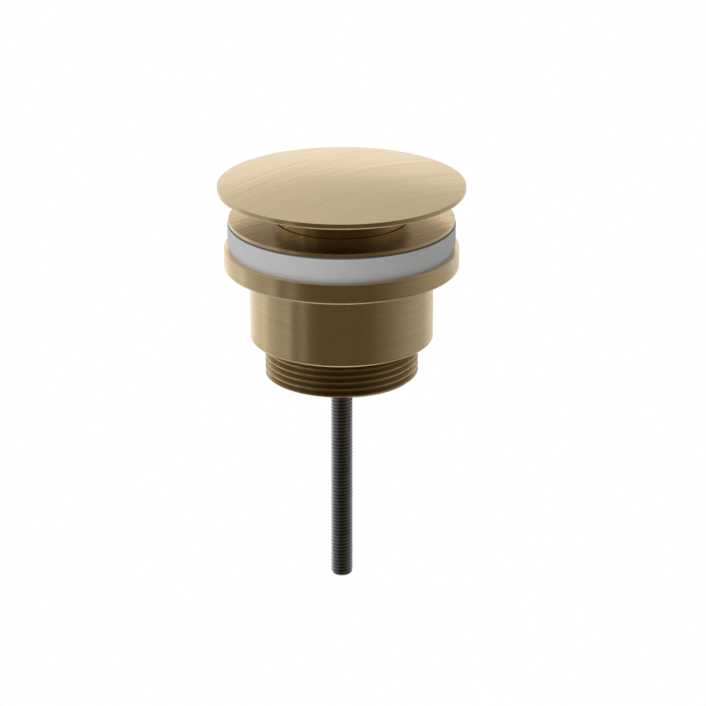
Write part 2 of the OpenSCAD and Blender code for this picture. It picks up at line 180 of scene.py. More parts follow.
class WasteSizes(bpy.types.PropertyGroup):
    """Sizes of the pieces, in the frame of the solids"""

    cap_r: length("Cap radius", "Radius of the domed cap", radius("dome_cap"))
    cap_low: length("Cap underside", "Height of the cap's lower rim", 9.3)
    cap_top: length("Cap top", "Height of the top of the dome", high("dome_cap"))
    cap_dome: length("Dome rise", "Rise of the dome above the cap's upright rim", 3.72)
    cap_wall: length("Cap wall", "Thickness of the cap's shell", 1.6)
    cap_boss_r: length("Cap boss radius", "Radius of the threaded boss under the cap", 6.5)
    cap_boss_low: length("Cap boss end", "Height of the end of the cap's boss", low("dome_cap"))
    cap_bore_top: length("Cap bore top", "Height of the blind end of the cap's bore", 12.5)
    stem_bore_r: length("Stem bore radius", "Radius of the bores round the plunger's stem", 4.02)
    edge_round: length("Edge round", "Rounding of the brushed edges", 0.25)
    edge_crisp: length("Crisp edge", "Rounding of the faced edges", 0.05)
    edge_bevel: length("Edge bevel", "Depth of the bevel on the lower edges of the turned pieces", 0.2)
    bevel_rise: length("Bevel rise", "Height of the bevel on the lower edges of the turned pieces", 0.35)
    carrier_r: length("Carrier radius", "Radius of the cup that carries the plug's seal", CARRIER_R)
    carrier_bore_r: length("Carrier bore", "Radius inside the carrier's skirt", CARRIER_R - CARRIER_WALL)
    carrier_low: length("Carrier end", "Height of the lower end of its skirt", low("seal_carrier"))
    carrier_web_low: length("Web underside", "Height of the underside of the carrier's web", 5.6)
    carrier_top: length("Carrier top", "Height of the top of the carrier", high("seal_carrier"))
    lip_low: length("Lip seal low", "Height of the underside of the plug's seal", 4.4)
    lip_high: length("Lip seal high", "Height of the top of the plug's seal", 6.4)
    lip_r: length("Lip seal radius", "Radius over the lip of the plug's seal", radius("plug_seal"))
    lip_seat_r: length("Lip seat radius", "Radius of the carrier's groove", CARRIER_R - LIP_GROOVE)
    fit_gap: length("Fit gap", "Gap round pieces that are pressed together", 0.02)
    cartridge_edge: length("Cartridge edge", "Break on the edges of the cartridge's pieces", 0.1)
    flange_r: length("Flange radius", "Radius of the upper flange", radius("upper_flange"))
    flange_top: length("Flange top", "Height of the flange's top", high("upper_flange"))
    flange_low: length("Flange lip", "Height of the flange's lower lip", 0.55)
    throat_r: length("Throat radius", "Radius of the flange's throat", 18.45)
    throat_round: length("Throat round", "Rounding of the throat's top edge", 0.15)
    seal_edge: length("Seal edge", "Break on the edges of the flat seal", 0.05)
    seal_recess_r: length("Seal recess radius", "Radius of the flat seal's recess", 29.67)
    seal_recess_top: length("Seal recess top", "Height of the flat seal's recess", 0.62)
    spigot_r: length("Spigot radius", "Radius of the spigot through the basin", 21.3)
    spigot_low: length("Spigot end", "Height of the spigot's lower end", low("upper_flange"))
    groove_r: length("Groove radius", "Radius of the spigot's sealing groove", 19.9)
    groove_low: length("Groove low", "Height of the groove's lower wall", -28.22)
    groove_high: length("Groove high", "Height of the groove's upper wall", -26.58)
    hub_r: length("Hub radius", "Radius of the spider's hub", 9.5)
    hub_top: length("Hub top", "Height of the top of the spider's hub", -24.8)
    hub_bore_r: length("Hub bore radius", "Radius of the screw's bore in the hub", 3.1)
    arm_count: number("Arms", "Arms of the spider, and overflow ports between them", 4)
    arm_w: length("Arm width", "Width of the spider's arms", 3.2)
    arm_top: length("Arm top", "Height of the top of the spider's arms", -25.5)
    arm_reach: length("Arm reach", "Radius at which the spider's arms end in the spigot's wall", 19.25)
    port_w: length("Port width", "Width of the overflow ports", 9.0)
    port_low: length("Port low", "Height of the lower edge of the overflow ports", -22.35)
    port_high: length("Port high", "Height of the upper edge of the overflow ports", -15.35)
    gasket_r: length("Gasket radius", "Radius of the basin gasket", radius("basin_gasket"))
    gasket_bore_r: length("Gasket bore radius", "Radius inside the basin gasket", 22.1)
    gasket_low: length("Gasket low", "Height of the gasket's underside", low("basin_gasket"))
    gasket_round: length("Gasket round", "Rounding of the gasket's upper and inner edges", 0.1)
    gasket_foot: length("Gasket foot", "Height of the gasket's side that draws in to its foot", 2.3)
    gasket_inset: length("Gasket inset", "How far the gasket's foot draws in", 0.4)
    tail_flange_r: length("Tail flange radius", "Radius of the tail's flange", radius("tail_body"))
    tail_flange_low: length("Tail flange low", "Height of the underside of the tail's flange", -12.2)
    tail_r: length("Tail radius", "Radius of the tail's body", 25.0)
    tail_low: length("Tail step", "Height at which the body steps in to the thread", -32.6)
    tail_bore_r: length("Tail bore radius", "Radius of the tail's bore", 21.7)
    tail_bore_low: length("Tail bore low", "Height of the tail's floor", -29.7)
    outlet_r: length("Outlet radius", "Radius of the tail's outlet", 16.5075)
    bridge_seat_r: length("Bridge seat radius", "Radius of the bridge's seat in the tail", 17.5075)
    bridge_top: length("Bridge top", "Height of the top of the bridge", high("tail_bridge"))
    bridge_low: length("Bridge low", "Height of the underside of the bridge", low("tail_bridge"))
    bridge_r: length("Bridge radius", "Radius of the bridge's ring", radius("tail_bridge"))
    bridge_ring_r: length("Bridge ring bore", "Radius inside the bridge's ring", 15.4875)
    bridge_hub_r: length("Bridge hub radius", "Radius of the bridge's hub", 6.0)
    bridge_bore_r: length("Bridge bore radius", "Radius of the bridge's bore", 3.05)
    bridge_arm_count: number("Bridge arms", "Arms of the bridge", 3)
    bridge_arm_w: length("Bridge arm width", "Width of the bridge's arms", 3.6)
    tail_end: length("Tail end", "Height of the tail's lower end", low("tail_body"))
    thread_top: length("Thread top", "Height at which the tail's thread starts", -34.6)
    thread_crest_r: length("Thread crest radius", "Radius over the tail's thread", 20.955)
    thread_root_r: length("Thread root radius", "Radius at the root of the tail's thread", 19.8075)
    thread_pitch: length("Thread pitch", "Pitch of the tail's thread", 1.85)
    thread_lead: length("Thread lead", "Height over which the tail's thread fades at its ends", 0.5)
    rod_crest_r: length("Rod crest radius", "Radius over the tie screw's thread", radius("tie_rod"))
    rod_root_r: length("Rod root radius", "Radius at the root of the tie screw's thread", 2.2964)
    rod_pitch: length("Rod pitch", "Pitch of the tie screw's thread", 1.0)
    rod_low: length("Rod end", "Height of the tie screw's lower end", low("tie_rod"))
    rod_top: length("Rod top", "Height of the tie screw's upper end", high("tie_rod"))
    screw_edge: length("Screw edge", "Break on the edges of the screw's head, washers and nut", 0.12)
    spring_r: length("Spring radius", "Mean radius of the return spring", 2.35)
    spring_wire: length("Spring wire", "Diameter of the spring's wire", 0.7)
    spring_low: length("Spring low", "Height of the middle of the spring's first coil", -17.43)
    spring_rise: length("Spring rise", "Rise of the spring from its first coil to its last", 17.46)
    spring_turns: number("Spring turns", "Turns of the spring", 12)
    plug_travel: length("Plug travel", "How far a full press moves the plug", 7.4)
    seat_low: length("Spring seat", "Height of the screw head that the spring stands on", -17.8)


class WasteFinish(bpy.types.PropertyGroup):
    """Colours and grain of the finishes"""

    brass: colour("Brass", "Lacquered champagne brass", "#fae3b8")
    brass_deep: colour("Brass, deep", "The same brass where the brush cut deeper", "#eed5a5")
    bare_brass: colour("Bare brass", "Turned brass with no lacquer", "#b99a55")
    # Painted shade: the groove brass is darker than the brushed brass to stand for the shade in the thread's
    # grooves
    groove_brass_painted_shade: colour("Groove brass in painted shade", "Dull lacquered brass in the grooves of the thread", "#c8b288")
    # Painted shade: the boss is painted darker than the brushed brass to stand for the shade under the cap
    boss_brass_painted_shade: colour("Boss brass", "Smooth lacquered brass of the boss under the cap", "#dbc59f")
    # Painted shade: the cap's underside is painted dark to stand for the shade under the cap
    underside_brass_painted_shade: colour("Underside brass in painted shade", "Dull brass on the underside of the cap", "#897753")
    zinc: colour("Zinc", "Bright zinc on steel", "#b9bcc0")
    zinc_dull: colour("Zinc, dull", "The same zinc where it has dulled", "#96999d")
    silicone: colour("Silicone", "White moulded silicone", "#d9d9d9")
    rubber: colour("Rubber", "Black moulded rubber", "#333334")
    # Partly painted shade: the flat seal is real, and its grey is set so that its edge shows as the shade
    # line between the flange and the gasket
    seal_rubber_crease_shade: colour("Seal rubber", "Grey moulded rubber of the flat seal", "#6c6c6d")
    acetal: colour("Acetal", "White moulded acetal", "#eceae2")
    dark_acetal: colour("Dark acetal", "Black moulded acetal", "#202022")
    grain_angle: angle("Grain angle", "Direction of the straight brushing across the cap", 40)


class WasteStage(bpy.types.PropertyGroup):
    """Camera and studio"""

    elevation: angle("Elevation", "Camera's angle above the seat plane", 18.7)
    distance: length("Distance", "Camera's distance from the seat's centre", 1021)
    lens: FloatProperty(
        name="Lens", description="Focal length on a 36 mm sensor", default=191.7, unit="CAMERA",
    )
    aim: FloatVectorProperty(
        name="Aim", description="Point in the middle of the picture",
        default=(0.0031, 0, -0.0379), subtype="XYZ", unit="LENGTH",
    )
    floor: colour("Floor", "Pale floor", "#f2f2f2")
    drape: colour("Drape", "Dark warm drape behind the camera", "#4f452f")
    flag: colour("Flag", "Dark flag above the camera", "#433a2b")
    near: colour("Near panel", "Panel of the tent beside the camera", "#767064")
    hem: colour("Hem", "Paler hem of the drape", "#5b5139")
    strip: colour("Pale strip", "Pale strip of the tent beside the drape", "#8a8276")
    gap: colour("Gap", "Dark gap between two panels of the tent", "#615b50")
    side: colour("Side panel", "Panel of the tent level with the waste", "#95928c")
    middle: colour("Middle panel", "Panel of the tent just beyond the waste", "#a7a5a1")
    far: colour("Far panel", "Panel of the tent well beyond the waste", "#c8c7c4")
    corner: colour("Corner panel", "Panel of the tent next to its back wall", "#dededc")
    back: colour("Back wall", "Back of the studio tent", "#fffcf6")
    ceiling: colour("Ceiling", "Ceiling of the tent to the left", "#d4d4d4")
    ceiling_dim: colour("Dim ceiling", "Ceiling of the tent to the right", "#b4b4b4")
    key_power: power("Key light", "Power of the soft light on the left", 10.5)
    fill_power: power("Fill light", "Power of the soft light on the right", 1.5)
    sky: FloatProperty(name="Sky", description="Level of the even light all round", default=0.36)


def chosen(context):
    """The sizes and the finishes that are set in the scene."""
    return context.scene.waste_sizes, context.scene.waste_finish


def add(tree, kind, links=None, **settings):
    """Adds a node. In links a value is set, and a socket or the first output of a node is linked."""
    node = tree.nodes.new(kind)
    for key, value in settings.items():
        setattr(node, key, value)
    for key, value in (links or {}).items():
        if isinstance(value, bpy.types.Node):
            value = value.outputs[0]
        if isinstance(value, bpy.types.NodeSocket):
            tree.links.new(value, node.inputs[key])
        else:
            node.inputs[key].default_value = value
    return node


def opaque(rgb):
    """The colour with full alpha."""
    return (*rgb, 1)


def shaded(rgb, share=0.8):
    """The colour in a darker shade."""
    return [share * c for c in rgb]


def finish_named(name, build, *details, **settings):
    """The finish of that name, which is built once from its details."""
    material = bpy.data.materials.get(name)
    if material is None:
        material = bpy.data.materials.new(name)
        material.use_nodes = True
        material.node_tree.nodes.clear()
        shader = build(material.node_tree, *details, **settings)
        add(material.node_tree, "ShaderNodeOutputMaterial", {"Surface": shader})
    return material


def brushed(tree, finish, turn, fine_grain, broad_grain, rough, stretch, **tangent):
    """Brushed and lacquered brass: fine parallel scratches that stretch each reflection across them."""
    place = add(tree, "ShaderNodeTexCoord").outputs["Object"]
    noises = []
    for grain, detail, decay in ((fine_grain, 3.0, 0.6), (broad_grain, 2.0, 0.5)):
        spot = add(tree, "ShaderNodeMapping", {
            "Vector": place, "Rotation": (0, 0, turn), "Scale": grain,
        }, vector_type="TEXTURE")
        noises.append(add(tree, "ShaderNodeTexNoise", {
            "Vector": spot, "Scale": 1.0, "Detail": detail, "Roughness": decay,
        }))
    fine, broad = noises
    broad_share = 0.35
    both = add(tree, "ShaderNodeMath", {0: broad, 1: broad_share, 2: fine}, operation="MULTIPLY_ADD")
    spread = {"Value": both, "From Min": 0.45, "From Max": 0.9}
    share = add(tree, "ShaderNodeMapRange", spread)
    tint = add(tree, "ShaderNodeMix", {
        0: share, 6: opaque(finish.brass_deep), 7: opaque(finish.brass),
    }, data_type="RGBA").outputs[2]
    roughness = add(tree, "ShaderNodeMapRange", {**spread, "To Min": rough[0], "To Max": rough[1]})
    relief = add(tree, "ShaderNodeBump", {"Strength": 0.1, "Distance": 0.03 * MM, "Height": fine})
    direction = add(tree, "ShaderNodeTangent", **tangent)
    return add(tree, "ShaderNodeBsdfPrincipled", {
        "Base Color": tint, "Metallic": 1.0, "Roughness": roughness, "Normal": relief,
        "Anisotropic": stretch, "Anisotropic Rotation": 0.25, "Tangent": direction,
        "Coat Weight": 0.25, "Coat Roughness": 0.22,
    })


def brass_straight(finish):
    """Brushed one way on a belt; scratches of about 0.1 mm, drawn 0.5 mm wide so that they show."""
    return finish_named(
        "brushed_brass_belt_grain", brushed, finish, turn=finish.grain_angle,
        fine_grain=(100 * MM, 0.5 * MM, 100 * MM), broad_grain=(200 * MM, 1.8 * MM, 200 * MM),
        rough=(0.38, 0.215), stretch=0.5, direction_type="UV_MAP", uv_map="grain",
    )


def brass_turned(finish):
    """Brushed round on the lathe; scratches of about 0.1 mm, drawn 0.3 mm wide so that they show."""
    return finish_named(
        "brushed_brass_lathe_grain", brushed, finish, turn=0.0,
        fine_grain=(25 * MM, 25 * MM, 0.3 * MM), broad_grain=(80 * MM, 80 * MM, 1.2 * MM),
        rough=(0.37, 0.26), stretch=0.9, direction_type="RADIAL", axis="Z",
    )


def machined(tree, rgb, dull_rgb, rough, mark=0.2 * MM, patch=6 * MM):
    """Cut metal: tool marks of that pitch round the axis, over slow clouds where it has dulled."""
    place = add(tree, "ShaderNodeTexCoord").outputs["Object"]
    run = 8 * MM
    spot = add(tree, "ShaderNodeMapping", {"Vector": place, "Scale": (run, run, mark)}, vector_type="TEXTURE")
    marks = add(tree, "ShaderNodeTexNoise", {"Vector": spot, "Scale": 1.0, "Detail": 2.0, "Roughness": 0.5})
    clouds = add(tree, "ShaderNodeTexNoise", {
        "Vector": place, "Scale": 1 / patch, "Detail": 3.0, "Roughness": 0.55,
    })
    tint = add(tree, "ShaderNodeMix", {
        0: clouds, 6: opaque(rgb), 7: opaque(dull_rgb),
    }, data_type="RGBA").outputs[2]
    roughness = add(tree, "ShaderNodeMapRange", {"Value": clouds, "To Min": rough[0], "To Max": rough[1]})
    relief = add(tree, "ShaderNodeBump", {"Strength": 0.2, "Distance": 0.03 * MM, "Height": marks})
    return add(tree, "ShaderNodeBsdfPrincipled", {
        "Base Color": tint, "Metallic": 1.0, "Roughness": roughness, "Normal": relief,
    })


def brass_bare(finish):
    """Turned brass with no lacquer: warm yellow, with tool marks 0.25 mm apart and a faint tarnish."""
    rgb = finish.bare_brass
    return finish_named(
        "turned_brass_bare", machined, rgb, shaded(rgb, 0.72), rough=(0.24, 0.40), mark=0.25 * MM,
    )


def brass_groove_painted_shade(finish):
    """Brass cut with a die, painted darker than the brushed faces as the shade in the thread's grooves, with
    tool marks 0.2 mm apart in the grooves.
    """
    rgb = finish.groove_brass_painted_shade
    return finish_named("thread_groove_brass_painted_shade", machined, rgb, shaded(rgb), rough=(0.30, 0.42))


def brass_underside_painted_shade(finish):
    """Brass under the cap, painted dark as the shade that falls under the cap, with faint marks 0.2 mm apart
    round the axis.
    """
    rgb = finish.underside_brass_painted_shade
    return finish_named("cap_underside_brass_painted_shade", machined, rgb, shaded(rgb), rough=(0.30, 0.42))


def brass_boss_painted_shade(finish):
    """Brass turned smooth and lacquered: reflections stay whole, with faint tool marks 0.2 mm apart; its
    colour is painted darker as the shade under the cap.
    """
    rgb = finish.boss_brass_painted_shade
    return finish_named("smooth_brass_boss_painted_shade", machined, rgb, shaded(rgb), rough=(0.12, 0.2))


def zinc_steel(finish):
    """Bright zinc on rolled steel: cool grey with cloudy dull patches some 5 mm across."""
    return finish_named(
        "zinc_plated_steel", machined, finish.zinc, finish.zinc_dull,
        rough=(0.2, 0.32), mark=0.3 * MM, patch=5 * MM,
    )


def moulded(tree, rgb, shade, rough, grit, depth, soft=0.0):
    """Moulded polymer: an even colour with the fine spark-eroded grit of its mould and slight sink clouds."""
    place = add(tree, "ShaderNodeTexCoord").outputs["Object"]
    sink = 7 * MM
    grits = add(tree, "ShaderNodeTexNoise", {
        "Vector": place, "Scale": 1 / grit, "Detail": 2.0, "Roughness": 0.6,
    })
    clouds = add(tree, "ShaderNodeTexNoise", {"Vector": place, "Scale": 1 / sink, "Detail": 2.0})
    tint = add(tree, "ShaderNodeMix", {
        0: clouds, 6: opaque(rgb), 7: opaque(shaded(rgb, shade)),
    }, data_type="RGBA").outputs[2]
    roughness = add(tree, "ShaderNodeMapRange", {"Value": grits, "To Min": rough[0], "To Max": rough[1]})
    relief = add(tree, "ShaderNodeBump", {"Strength": 0.25, "Distance": depth, "Height": grits})
    return add(tree, "ShaderNodeBsdfPrincipled", {
        "Base Color": tint, "Roughness": roughness, "Normal": relief, "IOR": 1.46,
        "Subsurface Weight": soft, "Subsurface Radius": (1.0, 1.0, 1.0), "Subsurface Scale": 0.6 * MM,
    })


def silicone_white(finish):
    """Moulded silicone: milky white with a satin skin; mould grit of 0.4 mm."""
    return finish_named(
        "moulded_silicone_white", moulded, finish.silicone, shade=0.94,
        rough=(0.42, 0.58), grit=0.4 * MM, depth=0.02 * MM, soft=0.2,
    )


def rubber_black(finish):
    """Moulded nitrile rubber: matt black; mould grit of 0.5 mm."""
    return finish_named(
        "moulded_rubber_black", moulded, finish.rubber, shade=0.8,
        rough=(0.55, 0.75), grit=0.5 * MM, depth=0.03 * MM,
    )


def crease_shade_rubber(finish):
    """Moulded rubber with a chalk filler: matt grey, a grey set so that the flat seal's edge shows as the
    shade line between flange and gasket; mould grit of 0.5 mm.
    """
    return finish_named(
        "moulded_seal_grey_painted_crease", moulded, finish.seal_rubber_crease_shade, shade=0.85,
        rough=(0.55, 0.75), grit=0.5 * MM, depth=0.03 * MM,
    )


def acetal_white(finish):
    """Moulded acetal: waxy off-white; mould grit of 0.4 mm."""
    return finish_named(
        "moulded_acetal_white", moulded, finish.acetal, shade=0.95,
        rough=(0.35, 0.5), grit=0.4 * MM, depth=0.02 * MM, soft=0.1,
    )


def acetal_black(finish):
    """Moulded acetal: black with a waxy sheen; mould grit of 0.4 mm."""
    return finish_named(
        "moulded_acetal_black", moulded, finish.dark_acetal, shade=0.85,
        rough=(0.35, 0.5), grit=0.4 * MM, depth=0.02 * MM,
    )


def arc(bend, centre, start, end, face):
    """Corners on an arc about a point of the axis, from one angle from the top up to another."""
    turns = [start + (end - start) * i / DOME_POINTS for i in range(DOME_POINTS)]
    return [(bend * math.sin(turn), centre + bend * math.cos(turn), 0, face) for turn in turns]


def rounded(corners, closed):
    """Points of a turned profile: a rounded corner becomes an arc with a support point at each end."""
    corners = [(*corner, 0, 0)[:4] for corner in corners]
    points = []
    count = len(corners)
    for i, (r, z, bend, face) in enumerate(corners):
        here = Vector((r, z))
        before, after = corners[i - 1], corners[(i + 1) % count]
        at_end = not closed and i in (0, count - 1)
        if bend <= 0 or at_end:
            points.append((r, z, face))
            continue
        back = Vector(before[:2]) - here
        on = Vector(after[:2]) - here
        reach = min(back.length, on.length) * CORNER_REACH
        back.normalize()
        on.normalize()
        half = back.angle(on) / 2
        run = min(bend / math.tan(half), reach)
        bend = run * math.tan(half)
        centre = here + (back + on).normalized() * (bend / math.sin(half))
        start, end = here + back * run - centre, here + on * run - centre
        sweep = start.angle_signed(end)
        points.append((*(here + back * (run + SUPPORT)), before[3]))
        for k in range(ARC_POINTS + 1):
            turned = start.copy()
            turned.rotate(Matrix.Rotation(-sweep * k / ARC_POINTS, 2))
            points.append((*(centre + turned), face))
        points.append((*(here + on * (run + SUPPORT)), face))
    return points


def lathe(corners, closed=True, segments=TURNED_SEGMENTS):
    """Mesh of a profile turned about the axis. A corner is its radius and height, then if they aren't 0 its
    rounding and its face, which is the material of the stretch that follows it."""
    profile = rounded(corners, closed)
    mesh_data = bmesh.new()
    turns = [2 * math.pi * i / segments for i in range(segments)]
    rings = []
    for r, z, _ in profile:
        if r == 0:
            rings.append([mesh_data.verts.new((0, 0, z))] * segments)
        else:
            rings.append([mesh_data.verts.new((r * math.cos(turn), r * math.sin(turn), z)) for turn in turns])
    stretches = list(zip(rings, rings[1:] + rings[:1], profile))
    if not closed:
        stretches.pop()
    for ring, next_ring, (_, _, face) in stretches:
        if ring[0] is ring[1] and next_ring[0] is next_ring[1]:
            continue
        for i in range(segments):
            n = (i + 1) % segments
            around = dict.fromkeys((ring[i], ring[n], next_ring[n], next_ring[i]))
            mesh_data.faces.new(list(around)).material_index = face
    bmesh.ops.recalc_face_normals(mesh_data, faces=mesh_data.faces)
    return stored(mesh_data)


def stored(mesh_data):
    mesh = bpy.data.meshes.new("turned")
    mesh_data.to_mesh(mesh)
    mesh_data.free()
    return mesh


def welded(*meshes):
    """The meshes in one, with the points that meet made one point."""
    mesh_data = bmesh.new()
    for mesh in meshes:
        mesh_data.from_mesh(mesh)
        bpy.data.meshes.remove(mesh)
    bmesh.ops.remove_doubles(mesh_data, verts=mesh_data.verts, dist=WELD)
    bmesh.ops.recalc_face_normals(mesh_data, faces=mesh_data.faces)
    return stored(mesh_data)


def placed(mesh, name="blank"):
    obj = bpy.data.objects.new(name, mesh)
    bpy.context.scene.collection.objects.link(obj)
    return obj


def evaluated(obj):
    """Plain mesh of an object with its modifiers, which takes the object out of the scene."""
    view = bpy.context.evaluated_depsgraph_get()
    mesh = bpy.data.meshes.new_from_object(obj.evaluated_get(view))
    base = obj.data
    bpy.data.objects.remove(obj)
    bpy.data.meshes.remove(base)
    return mesh


def grown(tree, **sizes):
    """Plain mesh that a node tree makes from its named sizes."""
    obj = placed(bpy.data.meshes.new("blank"))
    modifier = obj.modifiers.new("Grow", "NODES")
    modifier.node_group = tree
    for item in tree.interface.items_tree:
        if item.in_out == "INPUT":
            modifier[item.identifier] = sizes[item.name.lower()]
    return evaluated(obj)


def cut(mesh, tool, operation):
    """Mesh joined with a tool, or cut by it."""
    obj, tool_obj = placed(mesh), placed(tool)
    modifier = obj.modifiers.new("Cut", "BOOLEAN")
    modifier.object = tool_obj
    modifier.operation = operation
    modifier.solver = "EXACT"
    result = evaluated(obj)
    bpy.data.objects.remove(tool_obj)
    bpy.data.meshes.remove(tool)
    return result


def fitted(mesh, name, body, slot, node, *finishes):
    """The finished piece: shaded, with its finishes and its grain map, and riding on its body."""
    obj = placed(mesh, name)
    mesh.name = name
    faces = [min(face.material_index, len(finishes) - 1) for face in mesh.polygons]
    mesh.materials.clear()
    for material in finishes:
        mesh.materials.append(material)
    mesh.polygons.foreach_set("material_index", faces)
    mesh.polygons.foreach_set("use_smooth", [True] * len(mesh.polygons))
    mesh.set_sharp_from_angle(angle=SHARP_ANGLE)
    turn = bpy.context.scene.waste_finish.grain_angle
    along = Vector((math.cos(turn), math.sin(turn), 0))
    across = Vector((-math.sin(turn), math.cos(turn), 0))
    grain = mesh.uv_layers.new(name="grain")
    for loop in mesh.loops:
        point = mesh.vertices[loop.vertex_index].co
        grain.data[loop.index].uv = (point.dot(along) / GRAIN_TILE, point.dot(across) / GRAIN_TILE)
    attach(obj, body)
    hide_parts(node)
    return obj


def dressed(node, body, slot, finish, bevel=0):
    """A smooth copy of a solid, its edges broken when a bevel is given."""
    mesh_data = bmesh.new()
    mesh_data.from_mesh(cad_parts[node].data)
    bmesh.ops.remove_doubles(mesh_data, verts=mesh_data.verts, dist=WELD)
    bmesh.ops.dissolve_limit(
        mesh_data, angle_limit=FLAT_ANGLE, verts=mesh_data.verts, edges=mesh_data.edges,
    )
    if bevel > 0:
        shared = [edge for edge in mesh_data.edges if len(edge.link_faces) == 2]
        sharp = [edge for edge in shared if edge.calc_face_angle(0) > SHARP_ANGLE]
        bmesh.ops.bevel(
            mesh_data, geom=sharp, offset=bevel, segments=2, profile=0.5, affect="EDGES", clamp_overlap=True,
        )
    bmesh.ops.triangulate(mesh_data, faces=[face for face in mesh_data.faces if len(face.verts) > 4])
    return fitted(stored(mesh_data), "dressed_" + node, body, slot, node, finish)


def tree_named(name, sizes, counts=()):
    """A node tree with named inputs for its sizes, counts and material, and its mesh output."""
    tree = bpy.data.node_groups.new(name, "GeometryNodeTree")
    for kind, keys in (("Float", sizes), ("Int", counts), ("Material", ("Material",))):
        for key in keys:
            tree.interface.new_socket(name=key, in_out="INPUT", socket_type="NodeSocket" + kind)
    tree.interface.new_socket(name="Mesh", in_out="OUTPUT", socket_type="NodeSocketGeometry")
    return tree, add(tree, "NodeGroupInput").outputs


def closed_off(tree, geometry, material):
    """The end that every tree has."""
    real = add(tree, "GeometryNodeRealizeInstances", {"Geometry": geometry})
    shown = add(tree, "GeometryNodeSetMaterial", {"Geometry": real, "Material": material})
    add(tree, "NodeGroupOutput", {0: shown})
    return tree


def thread_tree():
    """Right-hand screw thread: a grid rolled round the axis, whose rows climb one pitch in each turn."""
    tree, size = tree_named(
        "Screw thread", ("Crest", "Root", "Pitch", "Low", "High", "Lead", "Flat", "Turns", "Start"),
        ("Columns", "Rows"),
    )
    grid = add(tree, "GeometryNodeMeshGrid", {
        "Size X": 1.0, "Size Y": 1.0, "Vertices X": size["Columns"], "Vertices Y": size["Rows"],
    })
    spot = add(tree, "GeometryNodeInputPosition")
    spot = add(tree, "ShaderNodeVectorMath", {0: spot, 1: (0.5, 0.5, 0)}, operation="ADD")
    spot = add(tree, "ShaderNodeSeparateXYZ", {0: spot}).outputs
    wind = add(tree, "ShaderNodeMath", {0: spot["Y"], 1: size["Turns"]}, operation="MULTIPLY")
    climb = add(tree, "ShaderNodeMath", {0: wind, 1: spot["X"]}, operation="ADD")
    climb = add(tree, "ShaderNodeMath", {0: climb, 1: 1.0}, operation="SUBTRACT")
    height = add(tree, "ShaderNodeMath", {
        0: climb, 1: size["Pitch"], 2: size["Low"],
    }, operation="MULTIPLY_ADD")
    height = add(tree, "ShaderNodeClamp", {"Value": height, "Min": size["Low"], "Max": size["High"]})
    ridge = add(tree, "ShaderNodeMath", {0: wind, 1: 0.5}, operation="PINGPONG")
    crest_at = add(tree, "ShaderNodeMath", {0: 0.5, 1: size["Flat"]}, operation="SUBTRACT")
    low_end = add(tree, "ShaderNodeMath", {0: size["Low"], 1: size["Lead"]}, operation="ADD")
    high_end = add(tree, "ShaderNodeMath", {0: size["High"], 1: size["Lead"]}, operation="SUBTRACT")
    reach = size["Crest"]
    for value, root, crest in (
        (ridge, size["Flat"], crest_at), (height, size["Low"], low_end), (height, size["High"], high_end),
    ):
        slope = add(tree, "ShaderNodeMapRange", {
            "Value": value, "From Min": root, "From Max": crest,
            "To Min": size["Root"], "To Max": size["Crest"],
        })
        reach = add(tree, "ShaderNodeMath", {0: reach, 1: slope}, operation="MINIMUM")
    turn = add(tree, "ShaderNodeMath", {0: spot["X"], 1: size["Start"]}, operation="ADD")
    turn = add(tree, "ShaderNodeMath", {0: turn, 1: 2 * math.pi}, operation="MULTIPLY")
    place = {"Z": height}
    for axis, wave in (("X", "COSINE"), ("Y", "SINE")):
        share = add(tree, "ShaderNodeMath", {0: turn}, operation=wave)
        place[axis] = add(tree, "ShaderNodeMath", {0: share, 1: reach}, operation="MULTIPLY")
    rolled = add(tree, "ShaderNodeCombineXYZ", place)
    rolled = add(tree, "GeometryNodeSetPosition", {"Geometry": grid, "Position": rolled})
    rolled = add(tree, "GeometryNodeMergeByDistance", {"Geometry": rolled, "Distance": WELD})
    return closed_off(tree, rolled, size["Material"])


def screw_thread(pitch, low_end, high_end, segments, steps, start=0, **sizes):
    """Thread between two heights, with those steps in each pitch; it starts that many segments round."""
    turns = math.ceil(((high_end - low_end) / pitch + 1) * steps) / steps
    return grown(
        bpy.data.node_groups.get("Screw thread") or thread_tree(),
        pitch=pitch, low=low_end, high=high_end, flat=1 / steps, columns=segments + 1,
        rows=round(turns * steps) + 1, turns=turns, start=start / segments, **sizes,
    )


